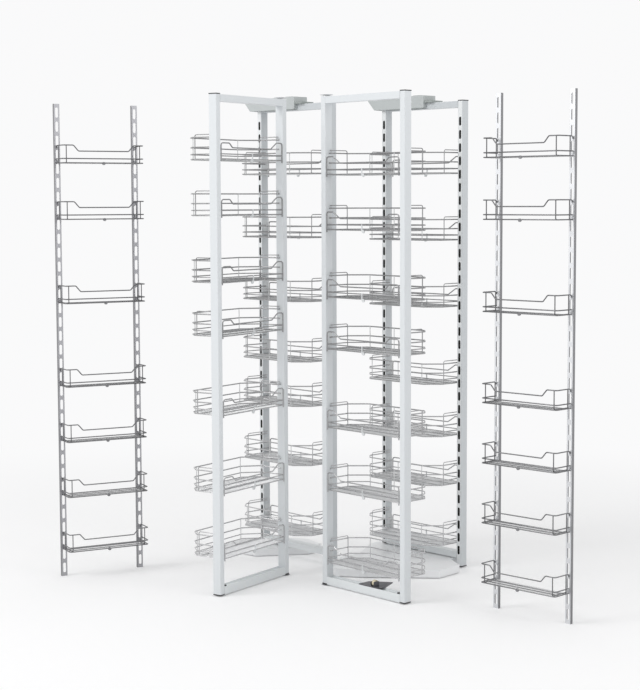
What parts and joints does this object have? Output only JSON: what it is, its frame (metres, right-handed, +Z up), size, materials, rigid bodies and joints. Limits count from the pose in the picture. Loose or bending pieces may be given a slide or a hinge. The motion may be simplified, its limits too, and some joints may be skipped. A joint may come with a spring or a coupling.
{
  "type": "pull out larder unit",
  "caption": "Open pull-out larder fittings: door racks, swing-out front and rear tube frames hung with wire baskets, floor bases and top housings.",
  "frame": {"origin": "on the floor, in the middle of the floor plan of all pieces in the open pose", "axes": "+Z up, -Y towards the person who stands in front, +X to that person's right"},
  "size_m": [1.939, 1.4298, 1.93],
  "materials": {
    "frame_paint": "satin powder coat",
    "rear_paint": "satin powder coat",
    "rail_grey": "satin powder coat with a grey track",
    "cap_black": "moulded",
    "housing_grey": "satin",
    "base_grey": "satin powder coat",
    "wire_chrome": "bright plated wire",
    "fitting_steel": "zinc plated",
    "rack_paint": "satin powder coat",
    "bracket_steel": "dark plated",
    "roller_cream": "moulded"
  },
  "bodies": {
    "doors_and_floor": {"rear_left_floor_base": "base_grey", "rear_right_floor_base": "base_grey", "left_pivot_fittings": "fitting_steel", "rack_left_uprights": "rack_paint", "rack_left_baskets": "wire_chrome", "right_pivot_fittings": "fitting_steel", "rack_right_uprights": "rack_paint", "rack_right_baskets": "wire_chrome"},
    "front_left_swing_frame": {"front_left_pivot_post": "frame_paint", "front_left_free_post": "frame_paint", "front_left_top_rail": "frame_paint", "front_left_foot_rail": "rail_grey", "front_left_caps": "cap_black", "front_left_basket_1": "wire_chrome", "front_left_basket_2": "wire_chrome", "front_left_basket_3": "wire_chrome", "front_left_basket_4": "wire_chrome", "front_left_basket_5": "wire_chrome", "front_left_basket_6": "wire_chrome", "front_left_basket_7": "wire_chrome"},
    "front_right_swing_frame": {"front_right_pivot_post": "frame_paint", "front_right_free_post": "frame_paint", "front_right_top_rail": "frame_paint", "front_right_foot_rail": "rail_grey", "front_right_caps": "cap_black", "front_right_basket_1": "wire_chrome", "front_right_basket_2": "wire_chrome", "front_right_basket_3": "wire_chrome", "front_right_basket_4": "wire_chrome", "front_right_basket_5": "wire_chrome", "front_right_basket_6": "wire_chrome", "front_right_basket_7": "wire_chrome", "roller_bracket": "bracket_steel"},
    "rear_left_swing_frame": {"rear_left_hinge_post": "rear_paint", "rear_left_outer_post": "rear_paint", "rear_left_top_rail": "frame_paint", "rear_left_foot_rail": "rail_grey", "rear_left_caps": "cap_black", "rear_left_top_housing": "housing_grey", "rear_left_basket_1": "wire_chrome", "rear_left_basket_2": "wire_chrome", "rear_left_basket_3": "wire_chrome", "rear_left_basket_4": "wire_chrome", "rear_left_basket_5": "wire_chrome", "rear_left_basket_6": "wire_chrome", "rear_left_basket_7": "wire_chrome"},
    "rear_right_swing_frame": {"rear_right_hinge_post": "rear_paint", "rear_right_outer_post": "rear_paint", "rear_right_top_rail": "frame_paint", "rear_right_foot_rail": "rail_grey", "rear_right_caps": "cap_black", "rear_right_top_housing": "housing_grey", "rear_right_basket_1": "wire_chrome", "rear_right_basket_2": "wire_chrome", "rear_right_basket_3": "wire_chrome", "rear_right_basket_4": "wire_chrome", "rear_right_basket_5": "wire_chrome", "rear_right_basket_6": "wire_chrome", "rear_right_basket_7": "wire_chrome"},
    "guide_roller": {"guide_roller": "roller_cream"}
  },
  "joints": [
    {"name": "front_left_swing", "type": "hinge", "parent": "doors_and_floor", "child": "front_left_swing_frame", "pos_m": [-0.07296, 0.13737, 0], "axis": [0, 0, 1], "range_deg": [-56, 0]},
    {"name": "front_right_swing", "type": "hinge", "parent": "doors_and_floor", "child": "front_right_swing_frame", "pos_m": [0.10504, -0.03263, 0], "axis": [0, 0, 1], "range_deg": [0, 47.8]},
    {"name": "rear_left_swing", "type": "hinge", "parent": "doors_and_floor", "child": "rear_left_swing_frame", "pos_m": [-0.16196, 0.62737, 0], "axis": [0, 0, 1], "range_deg": [0, 47.8]},
    {"name": "rear_right_swing", "type": "hinge", "parent": "doors_and_floor", "child": "rear_right_swing_frame", "pos_m": [0.36204, 0.57537, 0], "axis": [0, 0, 1], "range_deg": [0, 46.8]},
    {"name": "guide_roller_spin", "type": "hinge", "parent": "front_right_swing_frame", "child": "guide_roller", "pos_m": [0.28284, -0.23318, 0.0528], "axis": [0.6717, -0.7408, 0], "continuous": true}
  ],
  "couplings": [
    {"joint": "rear_left_swing", "follows": "front_left_swing", "ratio": -0.85357},
    {"joint": "rear_right_swing", "follows": "front_right_swing", "ratio": 0.97907}
  ]
}
